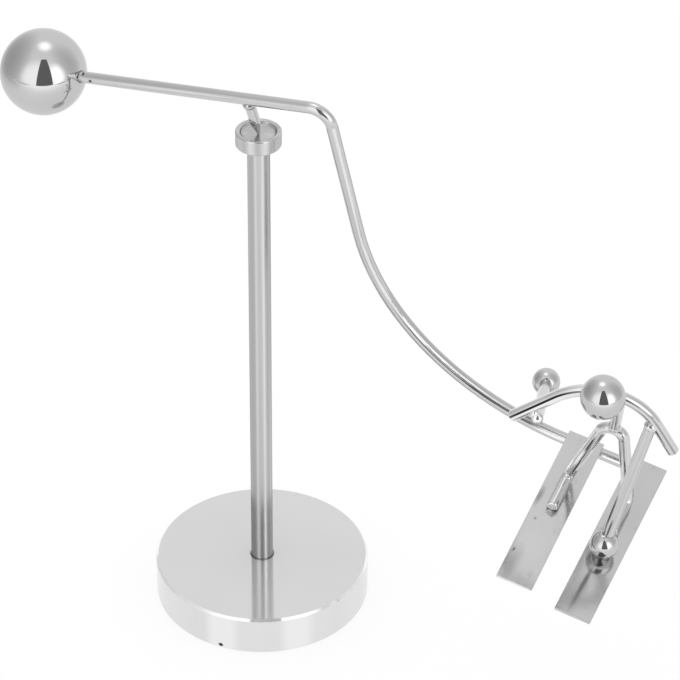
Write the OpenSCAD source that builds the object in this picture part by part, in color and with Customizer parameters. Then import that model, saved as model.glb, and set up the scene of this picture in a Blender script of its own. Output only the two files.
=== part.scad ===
// Counterweight balancing toy: a wire skier and a ball balance on a needle point in a cup.
// Z is up, the origin is the middle of the pad's underside, and +X points to the skier's side.

/* [Base] */
// Diameter of the base disc
base_d = 60; // [45:1:90]
// Height of the base disc
base_h = 11.6; // [10:0.1:20]
// Chamfer along the edges of the base disc
base_edge = 0.5; // [0.2:0.1:1.5]
// Diameter of the pad under the base
pad_d = 52; // [30:1:56]
// Thickness of the pad
pad_t = 1.5; // [1.2:0.1:3]
// Depth of the recess that holds the pad
pad_recess = 1; // [0.5:0.1:1.1]

/* [Column] */
// Diameter of the column
column_d = 6.1; // [5.5:0.1:8]
// Free height of the column, from the base's top to the cup's underside
column_free = 137.8; // [100:0.1:200]
// Depth of the column's seat in the base
column_seat = 4.5; // [3:0.1:5]
// Width of the chamfer round the seat's mouth
seat_edge = 0.4; // [0.2:0.1:1]
// Gap round the column in its seat
seat_gap = 0.05; // [0.02:0.01:0.1]

/* [Screw] */
// Diameter of the screw's shank
screw_d = 3; // [2:0.1:3.5]
// Length of the screw's shank
screw_len = 12; // [8:0.5:20]
// Diameter of the screw's head
screw_head_d = 5.6; // [5:0.1:8]
// Height of the screw's head
screw_head_h = 2.4; // [1.5:0.1:2.5]
// Width across the flats of the screw's hexagon socket
screw_hex = 2.5; // [1.5:0.1:3]
// Depth of the screw's hexagon socket
screw_hex_deep = 1.3; // [0.5:0.1:1.4]
// Gap round the screw's shank and head
screw_gap = 0.15; // [0.05:0.05:0.3]

/* [Pivot cup] */
// Outer diameter of the cup
cup_d = 12.3; // [10:0.1:16]
// Height of the cup
cup_h = 4.2; // [3.5:0.1:6]
// Chamfer along the edges of the cup
cup_edge = 0.35; // [0.1:0.05:0.6]
// Diameter of the dish in the cup's top
dish_d = 9.8; // [6:0.1:10.5]
// Depth of the dish
dish_deep = 1.2; // [0.8:0.1:1.6]
// Width of the sloping wall round the dish's floor
dish_taper = 0.3; // [0.1:0.05:0.8]
// Fall of the dish's floor towards its middle
dish_fall = 0.2; // [0.1:0.05:0.4]
// Depth of the socket that takes the column's end
cup_socket = 1.4; // [0.8:0.1:1.5]
// Gap round the column's end in the cup
cup_fit = 0.03; // [0.02:0.01:0.08]

/* [Pin] */
// Diameter of the pin
pin_d = 2.9; // [2.2:0.1:3.4]
// Length of the pin's conical point
point_len = 3.8; // [2:0.1:6]
// Radius of the pin's rounded tip
tip_r = 0.4; // [0.2:0.05:0.6]
// Gap between the tip and the dish
tip_gap = 0.05; // [0.03:0.01:0.1]

/* [Arm] */
// Diameter of the wire that the arm and the figure are bent from
wire_d = 3.2; // [2.4:0.1:3.6]
// Height of the arm's axis above the pivot
arm_rise = 11.8; // [10:0.1:20]
// Length of the level part from the pin to the bend
arm_lead = 17.7; // [12:0.1:30]
// Radius of the tight bend
bend_r = 5.4; // [4:0.1:8]
// Angle of the tight bend
bend_angle = 91.9; // [80:0.1:95]
// Length of the straight drop
arm_drop = 38.4; // [25:0.1:50]
// Radius of the wide sweep
sweep_r = 71.6; // [50:0.1:90]
// Slope of the arm's tail
tail_slope = 20; // [10:0.5:30]
// Length of the tail from the sweep to the middle of the figure
tail_lead = 14.4; // [12:0.1:25]

/* [Counterweight] */
// Diameter of the counterweight ball
ball_d = 23.4; // [18:0.1:30]
// Distance from the pin to the middle of the ball
ball_reach = 62; // [45:0.1:80]
// Depth of the arm's end in the ball
ball_socket = 6; // [3:0.5:8]
// Gap round a wire's end in a ball
ball_fit = 0.03; // [0.02:0.01:0.08]

/* [Skis] */
// Length of the left ski
left_ski_len = 53.6; // [40:0.1:70]
// Length of the right ski
right_ski_len = 56.1; // [40:0.1:70]
// Width of a ski
ski_w = 10.2; // [7:0.1:13]
// Thickness of a ski
ski_t = 0.8; // [0.6:0.1:1.6]
// Distance between the middle lines of the skis
ski_pitch = 18.4; // [15:0.1:24]
// Turn of the right ski towards the left one
ski_turn = 0.8; // [0:0.1:2]
// Length of the ski behind the arm's axis
ski_rear = 1.6; // [1:0.1:4]
// Length of the arm's tail past the middle line of the right ski
tail_past = 3; // [1:0.1:4]

/* [Figure] */
// Distance between the middle lines of the feet
foot_pitch = 17.5; // [14:0.1:22]
// Distance of the hip from the middle between the skis
hip_side = 0.3; // [0:0.1:1]
// Distance from the arm's axis forward to the legs
leg_ahead = 13.8; // [8:0.1:20]
// Length of a foot, from the leg's axis to the toe
foot_len = 11.9; // [8:0.1:16]
// Radius of the bend at an ankle
ankle_r = 2.6; // [2:0.1:4]
// Angle of a leg from upright
leg_splay = 12.7; // [10:0.1:20]
// Radius of the bend at the hip
hip_r = 3.4; // [2:0.1:4]
// Length of the torso between the axes of hip and shoulders
torso_len = 19.9; // [12:0.1:26]
// Forward lean of the torso
torso_lean = 12; // [0:1:25]
// Diameter of the head
head_d = 11.8; // [8:0.1:16]
// Angle of the head above straight ahead of the shoulders
head_up = 35; // [10:1:60]
// Distance of the head from the middle of the arms
head_side = 1.3; // [0:0.1:3]

/* [Arms and poles] */
// Radius of the bend across the shoulders
arms_r = 17.3; // [12:0.1:22]
// Turn of the shoulders
arms_turn = 11; // [0:1:20]
// Tilt of the hands to the front
arms_tilt = 6; // [0:1:12]
// Distance from the torso to the middle of the arms
arms_shift = 3.2; // [0:0.1:4]
// Angle of the bend on the left
left_drop = 48.4; // [40:0.1:65]
// Straight length of the left forearm
left_hand = 15.1; // [10:0.1:20]
// Angle of the bend on the right
right_drop = 53.6; // [50:0.1:70]
// Straight length of the right forearm
right_hand = 10.7; // [5:0.1:15]
// Distance of the left pole along the left forearm
left_grip = 8.4; // [3:0.1:10]
// Angle of the right pole's place in the right bend
right_grip = 48.6; // [30:0.1:50]
// Length of the left pole that shows in front of the arm
left_pole_front = 0.8; // [0:0.1:3]
// Place of the left pole's ball across the skis
left_ball_x = -25.1; // [-32:0.1:-22]
// Place of the left pole's ball along the skis
left_ball_y = 7.9; // [5:0.1:15]
// Height of the left pole's ball above the level of the skis
left_ball_lift = 3.9; // [0:0.1:10]
// Place of the right pole's ball ahead of the arm's axis
right_ball_ahead = 32.2; // [25:0.1:45]
// Place of the right pole's ball from the middle of its ski, towards the other ski
right_ball_in = 1; // [-2:0.1:2]
// Diameter of the balls on the poles
pole_ball_d = 7.7; // [6:0.1:10]
// Depth of a pole's end in its ball
pole_socket = 2.5; // [1.5:0.1:3.5]

/* [Solder] */
// Gap that is filled with solder between two wires
solder_gap = 0.05; // [0.02:0.01:0.1]
// Depth of the flats where a wire lies on a ski
flat_deep = 0.1; // [0.05:0.01:0.2]
// Radius of the larger beads
bead_r = 2; // [1.7:0.1:2.4]
// Length of the solder fillets at the skis and the feet
fillet_len = 6; // [3:0.5:7]
// Height of the solder fillets
fillet_h = 0.8; // [0.5:0.1:1]

/* [Rest] */
// Rise of the skier's side when the toy hangs at rest
rest_rock = 8; // [0:0.1:12]
// Lean of the pin to the front when the toy hangs at rest
rest_sway = 12.9; // [0:0.1:20]

/* [Hidden] */
$fn = 64;
sweep_fn = 240;

// A bend is a hair thicker than the straight wire, and the straight wire runs a little way into it
bend_d = wire_d + 0.02;
lap = 0.15;

// Gaps under the right pole's ball and over the pole's top end
ball_clear = 0.1;
rim_clear = 0.3;

// Bare lengths beside the solder at the skis' ends and at the toes
weld_inset = 0.2;
toe_bare = 1;

plated = "#d4d6d8";
turned = "#c9ccce";
soft_pad = "#2b2b2d";

wire_r = wire_d / 2;
pin_r = pin_d / 2;
base_z = pad_t - pad_recess;
base_top = base_z + base_h;
seat_z = base_top - column_seat;
cup_z = base_top + column_free;
column_top = cup_z + cup_socket - cup_fit;
dish_z = cup_z + cup_h - dish_deep;
pivot_z = dish_z + tip_gap + tip_r;

// The screw's head hangs in a counterbore above the pad
head_seat_z = base_z + pad_recess + screw_head_h + screw_gap;

// The dish's wall widens from the floor to the rim
dish_floor_d = dish_d - 2 * dish_taper;
dish_wall = dish_deep - dish_fall;

// The arm's path in its own plane, each point as [x, z] from the pivot
function heading(a) = [cos(a), -sin(a)];
function inward(a) = [sin(a), cos(a)];
bend_start = [arm_lead, arm_rise];
bend_end = bend_start - bend_r * inward(0) + bend_r * inward(bend_angle);
drop_end = bend_end + arm_drop * heading(bend_angle);
sweep_end = drop_end + sweep_r * (inward(bend_angle) - inward(tail_slope));
figure_at = sweep_end + tail_lead * heading(tail_slope);
tail_len = tail_lead + ski_pitch / 2 + tail_past;

// Heights above the tail's axis, square to the skis
ski_under = wire_r - flat_deep;
ski_top = ski_under + ski_t;
foot_z = ski_top + wire_r - flat_deep;
ski_x = ski_pitch / 2;
foot_x = foot_pitch / 2;
shin_len = (foot_x - hip_r * cos(leg_splay)) / sin(leg_splay) - ankle_r;
hip_z = foot_z + (shin_len + ankle_r) * cos(leg_splay) + hip_r * (1 - sin(leg_splay));
hip = [-hip_side, -leg_ahead, hip_z];
torso_dir = [0, -sin(torso_lean), cos(torso_lean)];
shoulder = hip + torso_len * torso_dir;
arms_mid = shoulder - arms_shift * [cos(arms_turn), sin(arms_turn), 0];

// A direction and a point of the arms, turned into the skis' frame
function arms_way(v) =
  let (y = v[1] * cos(arms_tilt) + v[2] * sin(arms_tilt))
  let (z = -v[1] * sin(arms_tilt) + v[2] * cos(arms_tilt))
  [v[0] * cos(arms_turn) - y * sin(arms_turn), v[0] * sin(arms_turn) + y * cos(arms_turn), z];
function arms_point(v) = arms_mid + arms_way(v);
function unit(v) = v / norm(v);

head_off = head_d / 2 + wire_r + solder_gap;
head_at = [-head_side, -head_off * cos(head_up), head_off * sin(head_up)];

// The torso ends under the bend of the arms, which slopes there
shoulder_tip = asin(arms_shift / arms_r);
arms_sink = arms_r * (1 - cos(shoulder_tip));
torso_foot = wire_r + solder_gap;
torso_neck = torso_foot / cos(shoulder_tip) + wire_r * tan(shoulder_tip) + arms_sink;

// Poles: where each is held on the arms, and where its ball is
left_arm_at = arms_point([
  -arms_r * sin(left_drop) - left_grip * cos(left_drop),
  0,
  -arms_r * (1 - cos(left_drop)) - left_grip * sin(left_drop)
]);
left_arm_way = arms_way([-cos(left_drop), 0, -sin(left_drop)]);
left_ball = [left_ball_x, left_ball_y, ski_top + pole_ball_d / 2 + left_ball_lift];
left_side = unit(cross(left_arm_way, left_ball - left_arm_at));
left_top = left_arm_at + (wire_d + solder_gap) * left_side;
left_way = unit(left_ball - left_top);
right_arm_at = arms_point([arms_r * sin(right_grip), 0, -arms_r * (1 - cos(right_grip))]);
right_arm_way = arms_way([cos(right_grip), 0, -sin(right_grip)]);
right_ball = [ski_x - right_ball_in, -right_ball_ahead, ski_top + pole_ball_d / 2 + ball_clear];
right_way = unit(right_ball - right_arm_at);

// The right pole ends under the arm, slanting, with its rim clear of the wire
right_lean = acos(right_way * right_arm_way);
right_stop = (wire_r * (1 + cos(right_lean)) + rim_clear) / sin(right_lean);
right_top = right_arm_at + right_stop * right_way;

// Everything that balances, turned about the pivot into its hanging attitude
module balancing() {
  translate([0, 0, pivot_z])
    rotate([rest_sway, 0, 0])
      rotate([0, -rest_rock, 0])
        children();
}

// The skis' frame: x along the arm's tail, y along the skis, z square to them
module on_tail() {
  balancing()
    translate([figure_at[0], 0, figure_at[1]])
      rotate([0, tail_slope, 0])
        children();
}

module on_arms() {
  on_tail()
    translate(arms_mid)
      rotate([-arms_tilt, 0, arms_turn])
        children();
}

// A straight length of wire along +X, with what follows at its end
module run(len, start_lap = lap) {
  end_lap = $children > 0 ? lap : 0;
  translate([-start_lap, 0, 0])
    rotate([0, 90, 0])
      cylinder(d = wire_d, h = len + start_lap + end_lap);
  translate([len, 0, 0])
    children();
}

// A bend from +X towards -Z, with what follows at its end
module bend(r, a) {
  translate([0, 0, -r])
    rotate([90, 0, 0])
      rotate([0, 0, 90 - a])
        rotate_extrude(angle = a, $fn = sweep_fn)
          translate([r, 0])
            circle(d = bend_d, $fn = 64);
  translate([r * sin(a), 0, -r * (1 - cos(a))])
    rotate([0, a, 0])
      children();
}

// A round rod from one point along a direction
module rod(from, way, len, d = wire_d) {
  translate(from)
    rotate([0, acos(way[2]), atan2(way[1], way[0])])
      cylinder(d = d, h = len);
}

module chamfered_disc(d, h, edge) {
  cylinder(d1 = d - 2 * edge, d2 = d, h = edge);
  translate([0, 0, edge])
    cylinder(d = d, h = h - 2 * edge);
  translate([0, 0, h - edge])
    cylinder(d1 = d, d2 = d - 2 * edge, h = edge);
}

module base_disc() {
  color(turned)
    difference() {
      translate([0, 0, base_z])
        chamfered_disc(base_d, base_h, base_edge, $fn = 128);
      translate([0, 0, base_z - 1])
        cylinder(d = pad_d + 2 * seat_gap, h = pad_recess + 1);
      translate([0, 0, base_z])
        cylinder(d = screw_head_d + 4 * screw_gap, h = head_seat_z - base_z);
      translate([0, 0, base_z])
        cylinder(d = screw_d + 2 * screw_gap, h = base_h);
      translate([0, 0, seat_z])
        cylinder(d = column_d + 2 * seat_gap, h = column_seat + 1);
      translate([0, 0, base_top - seat_edge])
        cylinder(d1 = column_d, d2 = column_d + 4 * seat_edge, h = 2 * seat_edge);
    }
}

module base_pad() {
  color(soft_pad)
    cylinder(d = pad_d, h = pad_t);
}

module column_screw() {
  color(turned)
    difference() {
      union() {
        translate([0, 0, head_seat_z - screw_head_h])
          cylinder(d = screw_head_d, h = screw_head_h);
        translate([0, 0, head_seat_z])
          cylinder(d = screw_d, h = screw_len);
      }
      translate([0, 0, head_seat_z - screw_head_h - 1])
        cylinder(d = screw_hex / cos(30), h = screw_hex_deep + 1, $fn = 6);
    }
}

module column() {
  color(turned)
    difference() {
      translate([0, 0, seat_z])
        cylinder(d = column_d, h = column_top - seat_z);
      translate([0, 0, seat_z - 1])
        cylinder(d = screw_d + 2 * seat_gap, h = screw_len + 2);
    }
}

module pivot_cup() {
  color(plated)
    difference() {
      translate([0, 0, cup_z])
        chamfered_disc(cup_d, cup_h, cup_edge);
      translate([0, 0, dish_z])
        cylinder(d1 = 0, d2 = dish_floor_d, h = dish_fall);
      translate([0, 0, dish_z + dish_fall])
        cylinder(d1 = dish_floor_d, d2 = dish_d + 2 * dish_taper, h = 2 * dish_wall);
      translate([0, 0, cup_z - 1])
        cylinder(d = column_d + 2 * cup_fit, h = cup_socket + 1);
    }
}

// The pin stands under the arm, and its tip's middle is the pivot
module pivot_pin() {
  color(plated)
    balancing() {
      sphere(r = tip_r);
      cylinder(r1 = tip_r, r2 = pin_r, h = point_len - tip_r);
      translate([0, 0, point_len - tip_r])
        cylinder(r = pin_r, h = arm_rise - wire_r - solder_gap - point_len + tip_r);
    }
}

module arm_wire() {
  wire_end = ball_reach - ball_d / 2 + ball_socket;
  balancing()
    translate([-wire_end, 0, arm_rise])
      run(wire_end + arm_lead, start_lap = 0)
        bend(bend_r, bend_angle)
          run(arm_drop)
            rotate([180, 0, 0])
              bend(sweep_r, bend_angle - tail_slope)
                run(tail_len);
}

module ski(x, len, turn = 0) {
  color(turned)
    on_tail()
      translate([x, 0, ski_under])
        rotate([0, 0, -turn])
          translate([-ski_w / 2, ski_rear - len, 0])
            cube([ski_w, len, ski_t]);
}

module balance_arm() {
  color(plated)
    difference() {
      arm_wire();
      on_tail()
        translate([-ski_x - ski_w, -wire_d, ski_under])
          cube([ski_pitch + 2 * ski_w, 2 * wire_d, wire_d]);
    }
}

module counterweight_ball() {
  color(plated)
    balancing()
      translate([-ball_reach, 0, arm_rise])
        rotate([0, 90, 0])
          difference() {
            sphere(d = ball_d, $fn = 128);
            translate([0, 0, ball_d / 2 - ball_socket - ball_fit])
              cylinder(d = wire_d + 2 * ball_fit, h = ball_socket + 1);
          }
}

module left_ski() {
  ski(-ski_x, left_ski_len);
}

module right_ski() {
  ski(ski_x, right_ski_len, ski_turn);
}

// One leg from the end of the hip bend down to the toe
module shin_and_foot() {
  run(shin_len)
    rotate([-90, 0, 0])
      bend(ankle_r, 90)
        run(foot_len - ankle_r);
}

module leg_wire() {
  hip_x = hip_r * cos(leg_splay);
  hip_sink = hip_r * (1 - sin(leg_splay));
  on_tail()
    translate(hip) {
      translate([-hip_x, 0, -hip_sink])
        rotate([0, leg_splay - 90, 0])
          bend(hip_r, 180 - 2 * leg_splay);
      for (side = [0, 1])
        mirror([side, 0, 0])
          translate([hip_x, 0, -hip_sink])
            rotate([0, 90 - leg_splay, 0])
              shin_and_foot();
    }
}

module legs() {
  color(plated)
    difference() {
      leg_wire();
      on_tail()
        translate([-ski_x - ski_w, -leg_ahead - foot_len - 1, ski_under])
          cube([ski_pitch + 2 * ski_w, foot_len + wire_d + 2, ski_t]);
    }
}

module torso() {
  color(plated)
    on_tail()
      rod(hip + torso_foot * torso_dir, torso_dir, torso_len - torso_foot - torso_neck);
}

module head_ball() {
  on_arms()
    translate(head_at)
      sphere(d = head_d, $fn = 96);
}

module head() {
  color(plated)
    head_ball();
}

module arms() {
  color(plated)
    on_arms()
      translate([-arms_r * sin(left_drop), 0, -arms_r * (1 - cos(left_drop))])
        rotate([0, -left_drop, 0]) {
          bend(arms_r, left_drop + right_drop)
            run(right_hand);
          rotate([0, 0, 180])
            run(left_hand);
        }
}

function pole_len(from, to) = norm(to - from) - pole_ball_d / 2 + pole_socket;

module left_pole() {
  color(plated)
    on_tail()
      rod(left_top - left_pole_front * left_way, left_way, pole_len(left_top, left_ball) + left_pole_front);
}

module right_pole() {
  color(plated)
    on_tail()
      rod(right_top, right_way, pole_len(right_top, right_ball));
}

module pole_ball(at, way) {
  color(plated)
    on_tail()
      difference() {
        translate(at)
          sphere(d = pole_ball_d);
        rod(at - (pole_ball_d / 2 + 1) * way, way, pole_socket + 1 + ball_fit, wire_d + 2 * ball_fit);
      }
}

module left_pole_ball() {
  pole_ball(left_ball, left_way);
}

module right_pole_ball() {
  pole_ball(right_ball, right_way);
}

module pin_weld() {
  color(plated)
    difference() {
      balancing()
        translate([0, 0, arm_rise - wire_r])
          sphere(r = bead_r);
      arm_wire();
      pivot_pin();
    }
}

// Solder along both sides of a wire that lies under a ski
module ski_welds() {
  color(plated)
    difference() {
      for (side = [-1, 1])
        on_tail()
          translate([side * ski_x - fillet_len / 2, weld_inset - ski_rear, ski_under - fillet_h])
            cube([fillet_len, 2 * (ski_rear - weld_inset), fillet_h]);
      arm_wire();
    }
}

// Solder along both sides of each foot
module foot_welds() {
  color(plated)
    difference() {
      for (side = [-1, 1])
        on_tail()
          translate([side * foot_x - hip_side - wire_r, toe_bare - leg_ahead - foot_len, ski_top])
            cube([wire_d, fillet_len, fillet_h]);
      leg_wire();
    }
}

module hip_weld() {
  color(plated)
    difference() {
      on_tail()
        translate(hip + wire_r * torso_dir)
          sphere(r = bead_r);
      leg_wire();
      torso();
    }
}

module shoulder_weld() {
  color(plated)
    difference() {
      on_tail()
        translate(shoulder - torso_neck * torso_dir)
          sphere(r = bead_r);
      arms();
      torso();
    }
}

module neck_weld() {
  color(plated)
    difference() {
      on_arms()
        translate([head_at[0], -wire_r * cos(head_up), wire_r * sin(head_up)])
          rotate([90 - head_up, 0, 0])
            sphere(r = bead_r);
      arms();
      head_ball();
    }
}

module pole_welds() {
  color(plated)
    difference() {
      on_tail() {
        translate((left_arm_at + left_top) / 2)
          sphere(r = bead_r);
        translate((right_arm_at + right_top) / 2)
          sphere(r = bead_r);
      }
      arms();
      left_pole();
      right_pole();
    }
}

base_disc();
base_pad();
column_screw();
column();
pivot_cup();
pivot_pin();
balance_arm();
counterweight_ball();
left_ski();
right_ski();
legs();
torso();
head();
arms();
left_pole();
right_pole();
left_pole_ball();
right_pole_ball();
pin_weld();
ski_welds();
foot_welds();
hip_weld();
shoulder_weld();
neck_weld();
pole_welds();
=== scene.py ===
import bpy
import bmesh
from bmesh.types import BMEdge, BMVert
from math import acos, asin, cos, pi, radians, sin, sqrt, tan, tau
from mathutils import Matrix, Vector, noise


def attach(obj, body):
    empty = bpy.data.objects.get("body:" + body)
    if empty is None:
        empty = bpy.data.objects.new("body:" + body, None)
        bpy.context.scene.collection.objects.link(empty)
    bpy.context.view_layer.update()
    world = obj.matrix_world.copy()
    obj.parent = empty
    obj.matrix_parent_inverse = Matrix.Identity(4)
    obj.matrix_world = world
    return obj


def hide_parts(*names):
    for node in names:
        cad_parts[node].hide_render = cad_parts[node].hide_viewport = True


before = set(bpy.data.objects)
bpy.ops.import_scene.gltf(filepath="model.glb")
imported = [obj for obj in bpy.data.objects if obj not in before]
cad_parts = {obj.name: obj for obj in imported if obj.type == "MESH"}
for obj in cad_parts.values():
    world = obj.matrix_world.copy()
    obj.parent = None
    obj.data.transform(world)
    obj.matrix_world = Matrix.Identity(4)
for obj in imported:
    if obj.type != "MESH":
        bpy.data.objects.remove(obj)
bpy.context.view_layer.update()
scene = bpy.context.scene
scene.view_settings.view_transform = "Standard"
mm = 0.001
print("frame loaded", len(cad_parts), "nodes")

# camera as the photograph was taken, its place in mm and its turn in degrees
cameraPlace = {"eye": (357.4, -752.7, 684.8), "turn": (54.3163, -0.2914, 24.1149), "lens": 199.27,
               "sensor": 36, "near": 0.05, "far": 20}
cameraData = bpy.data.cameras.new("photoCamera")
cameraData.lens = cameraPlace["lens"]
cameraData.sensor_width = cameraPlace["sensor"]
cameraData.clip_start = cameraPlace["near"]
cameraData.clip_end = cameraPlace["far"]
photoCamera = bpy.data.objects.new("photoCamera", cameraData)
photoCamera.location = Vector(cameraPlace["eye"]) * mm
photoCamera.rotation_euler = [radians(a) for a in cameraPlace["turn"]]
scene.collection.objects.link(photoCamera)
scene.camera = photoCamera
print("camera set")

# what all finishes share; lengths in mm
finishing = {"span": (0.3, 0.7), "toneDetail": 4.0, "grainDetail": 2.0, "drift": (9, 9, 9), "grainFiner": 2,
             "glossFiner": 2.3, "bumpDepth": 0.05, "stripe": 400}


def treeKit(tree):
    return {"nodes": tree.nodes, "links": tree.links}


def newFinish(name):
    material = bpy.data.materials.new(name)
    material.use_nodes = True
    tree = material.node_tree
    return {**treeKit(tree), "material": material, "coords": tree.nodes.new("ShaderNodeTexCoord"),
            "shader": tree.nodes["Principled BSDF"]}


def grey(tone):
    return tone, tone, tone, 1


def levels(kit, value, span=(0.0, 1.0), low=0.0, high=1.0, smooth=False):
    # brings a value inside span to low..high
    level = kit["nodes"].new("ShaderNodeMapRange")
    level.interpolation_type = "SMOOTHSTEP" if smooth else "LINEAR"
    level.inputs["From Min"].default_value, level.inputs["From Max"].default_value = span
    level.inputs["To Min"].default_value = low
    level.inputs["To Max"].default_value = high
    kit["links"].new(value, level.inputs["Value"])
    return level.outputs["Result"]


def stretched(kit, stretch):
    place = kit["nodes"].new("ShaderNodeMapping")
    place.inputs["Scale"].default_value = stretch
    kit["links"].new(kit["coords"].outputs["Object"], place.inputs["Vector"])
    return place.outputs["Vector"]


def roundWire(kit):
    # the place round a wire, which its mesh keeps
    around = kit["nodes"].new("ShaderNodeAttribute")
    around.attribute_name = "round"
    return around.outputs["Vector"]


def cloudLevel(kit, place, scale, detail, low=0.0, high=1.0, span=finishing["span"]):
    # a noise brought to low..high
    cloud = kit["nodes"].new("ShaderNodeTexNoise")
    cloud.inputs["Scale"].default_value = scale
    cloud.inputs["Detail"].default_value = detail
    kit["links"].new(place, cloud.inputs["Vector"])
    return levels(kit, cloud.outputs["Fac"], span, low, high)


def drawnLevel(kit, scale):
    # streaks that follow a wire, from the place round it and slowly changing along it
    both = kit["nodes"].new("ShaderNodeVectorMath")
    kit["links"].new(roundWire(kit), both.inputs[0])
    kit["links"].new(stretched(kit, finishing["drift"]), both.inputs[1])
    return cloudLevel(kit, both.outputs["Vector"], scale, finishing["grainDetail"])


def lineLevel(kit, angle, spread):
    # one line along a wire, at an angle round it
    facing = kit["nodes"].new("ShaderNodeVectorMath")
    facing.operation = "DOT_PRODUCT"
    facing.inputs[1].default_value = (cos(radians(angle)), sin(radians(angle)), 0)
    kit["links"].new(roundWire(kit), facing.inputs[0])
    return levels(kit, facing.outputs["Value"], (cos(radians(spread)), cos(radians(spread / 2))), smooth=True)


def spotLevel(kit, at, size, turn=(0, 0, 0)):
    # 1 in the middle of a round spot, 0 at its edge; place and size in mm, turn in degrees
    place = kit["nodes"].new("ShaderNodeMapping")
    place.vector_type = "TEXTURE"
    place.inputs["Location"].default_value = [mm * v for v in at]
    place.inputs["Rotation"].default_value = [radians(v) for v in turn]
    place.inputs["Scale"].default_value = [mm * v for v in size]
    fade = kit["nodes"].new("ShaderNodeTexGradient")
    fade.gradient_type = "SPHERICAL"
    kit["links"].new(kit["coords"].outputs["Object"], place.inputs["Vector"])
    kit["links"].new(place.outputs["Vector"], fade.inputs["Vector"])
    return fade.outputs["Fac"]


def within(kit, line, spot):
    # a line that shows only inside a spot
    both = kit["nodes"].new("ShaderNodeMath")
    both.operation = "MULTIPLY"
    kit["links"].new(line, both.inputs[0])
    kit["links"].new(spot, both.inputs[1])
    return both.outputs[0]


def paintMark(kit, factor, tone, share=1.0):
    # lays a grey over the colour where factor is 1
    if share != 1.0:
        factor = levels(kit, factor, high=share)
    mix = kit["nodes"].new("ShaderNodeMix")
    mix.data_type = "RGBA"
    mix.inputs[7].default_value = grey(tone)  # sockets 6, 7 and 2 are the colour ones
    kit["links"].new(factor, mix.inputs[0])
    kit["links"].new(kit["colour"], mix.inputs[6])
    kit["colour"] = mix.outputs[2]
    kit["links"].new(kit["colour"], kit["shader"].inputs["Base Color"])


def paintLines(kit, lines):
    # short lines of painted reflection and painted highlight along a wire: angle round it, spread, middle, reach,
    # tone, share
    for angle, spread, at, reach, tone, share in lines:
        spot = spotLevel(kit, at, (reach, reach, reach))
        paintMark(kit, within(kit, lineLevel(kit, angle, spread), spot), tone, share)


def paintStripes(kit, stripes):
    # stripes straight up and down: middle, width, share, tone
    for at, width, share, tone in stripes:
        paintMark(kit, spotLevel(kit, at, (width, width, finishing["stripe"])), tone, share)


def greyFinish(name, look):
    # cloudy or drawn grey tone, uneven gloss and a fine bump
    kit = newFinish(name)
    nodes, links, shader = kit["nodes"], kit["links"], kit["shader"]
    shader.inputs["Metallic"].default_value = look["metal"]
    if "edge" in look:
        shader.inputs["Specular Tint"].default_value = grey(look["edge"])
    place = stretched(kit, look.get("stretch", (1, 1, 1)))
    if "drawn" in look:
        tone = drawnLevel(kit, look["drawn"])
        grain = drawnLevel(kit, look["drawn"] * finishing["grainFiner"])
    else:
        tone = cloudLevel(kit, place, look["cloud"], finishing["toneDetail"])
        grain = cloudLevel(kit, place, look["grain"], finishing["grainDetail"])
    gloss = cloudLevel(kit, place, look["cloud"] * finishing["glossFiner"], finishing["toneDetail"],
                       *look["rough"])
    ramp = nodes.new("ShaderNodeValToRGB")
    ramp.color_ramp.elements[0].color = grey(look["dark"])
    ramp.color_ramp.elements[1].color = grey(look["light"])
    links.new(tone, ramp.inputs["Fac"])
    kit["colour"] = ramp.outputs["Color"]
    links.new(kit["colour"], shader.inputs["Base Color"])
    links.new(gloss, shader.inputs["Roughness"])
    bump = nodes.new("ShaderNodeBump")
    bump.inputs["Strength"].default_value = look["bump"]
    bump.inputs["Distance"].default_value = finishing["bumpDepth"] * mm
    links.new(grain, bump.inputs["Height"])
    links.new(bump.outputs["Normal"], shader.inputs["Normal"])
    return kit


# plated wire, with two specks on the arm beside the ball
wireLook = {"metal": 1.0, "edge": 0.95, "dark": 0.50, "light": 0.63, "rough": (0.05, 0.10), "cloud": 90,
            "drawn": 2.2, "bump": 0.5, "speckTone": 0.05, "speckShare": 2.0,
            "specks": [((-47.9, -2.7, 158.4), (0.6, 0.5, 0.5)), ((-50.4, -1.8, 159.5), (0.4, 0.7, 0.7))]}
kit = greyFinish("wirePlating", wireLook)
for at, size in wireLook["specks"]:
    paintMark(kit, spotLevel(kit, at, size), wireLook["speckTone"], wireLook["speckShare"])
wirePlating = kit["material"]

# drop, sweep and tail of the arm: a painted highlight line all along, a painted dark reflection line down the
# sweep, and a painted highlight on the tail, pale and less metallic
sweepLook = {**wireLook, "edge": 0.6, "paleLine": (-134, 20), "paleTone": 0.95, "paleShare": 0.55,
             "lines": [(-124, 10, (46.5, 14.4, 84.5), 26.0, 0.16, 1.8)],
             "glintLine": (-128, 27), "glintAt": (80.6, 19.0, 65.9), "glintSize": (8.5, 8.5, 8.5),
             "glintTone": 0.97, "glintShare": 2.0, "glintMetal": 0.2}
kit = greyFinish("sweepPaintedLight", sweepLook)
# painted highlight line and painted dark reflection line
paintMark(kit, lineLevel(kit, *sweepLook["paleLine"]), sweepLook["paleTone"], sweepLook["paleShare"])
paintLines(kit, sweepLook["lines"])
# a painted highlight on the tail: a pale line inside a spot, with the metal turned down there
glint = within(kit, lineLevel(kit, *sweepLook["glintLine"]),
                spotLevel(kit, sweepLook["glintAt"], sweepLook["glintSize"]))
paintMark(kit, glint, sweepLook["glintTone"], sweepLook["glintShare"])
glintMetallic = levels(kit, glint, (0.0, 1 / sweepLook["glintShare"]), sweepLook["metal"], sweepLook["glintMetal"])
kit["links"].new(glintMetallic, kit["shader"].inputs["Metallic"])
sweepPaintedLight = kit["material"]
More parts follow.
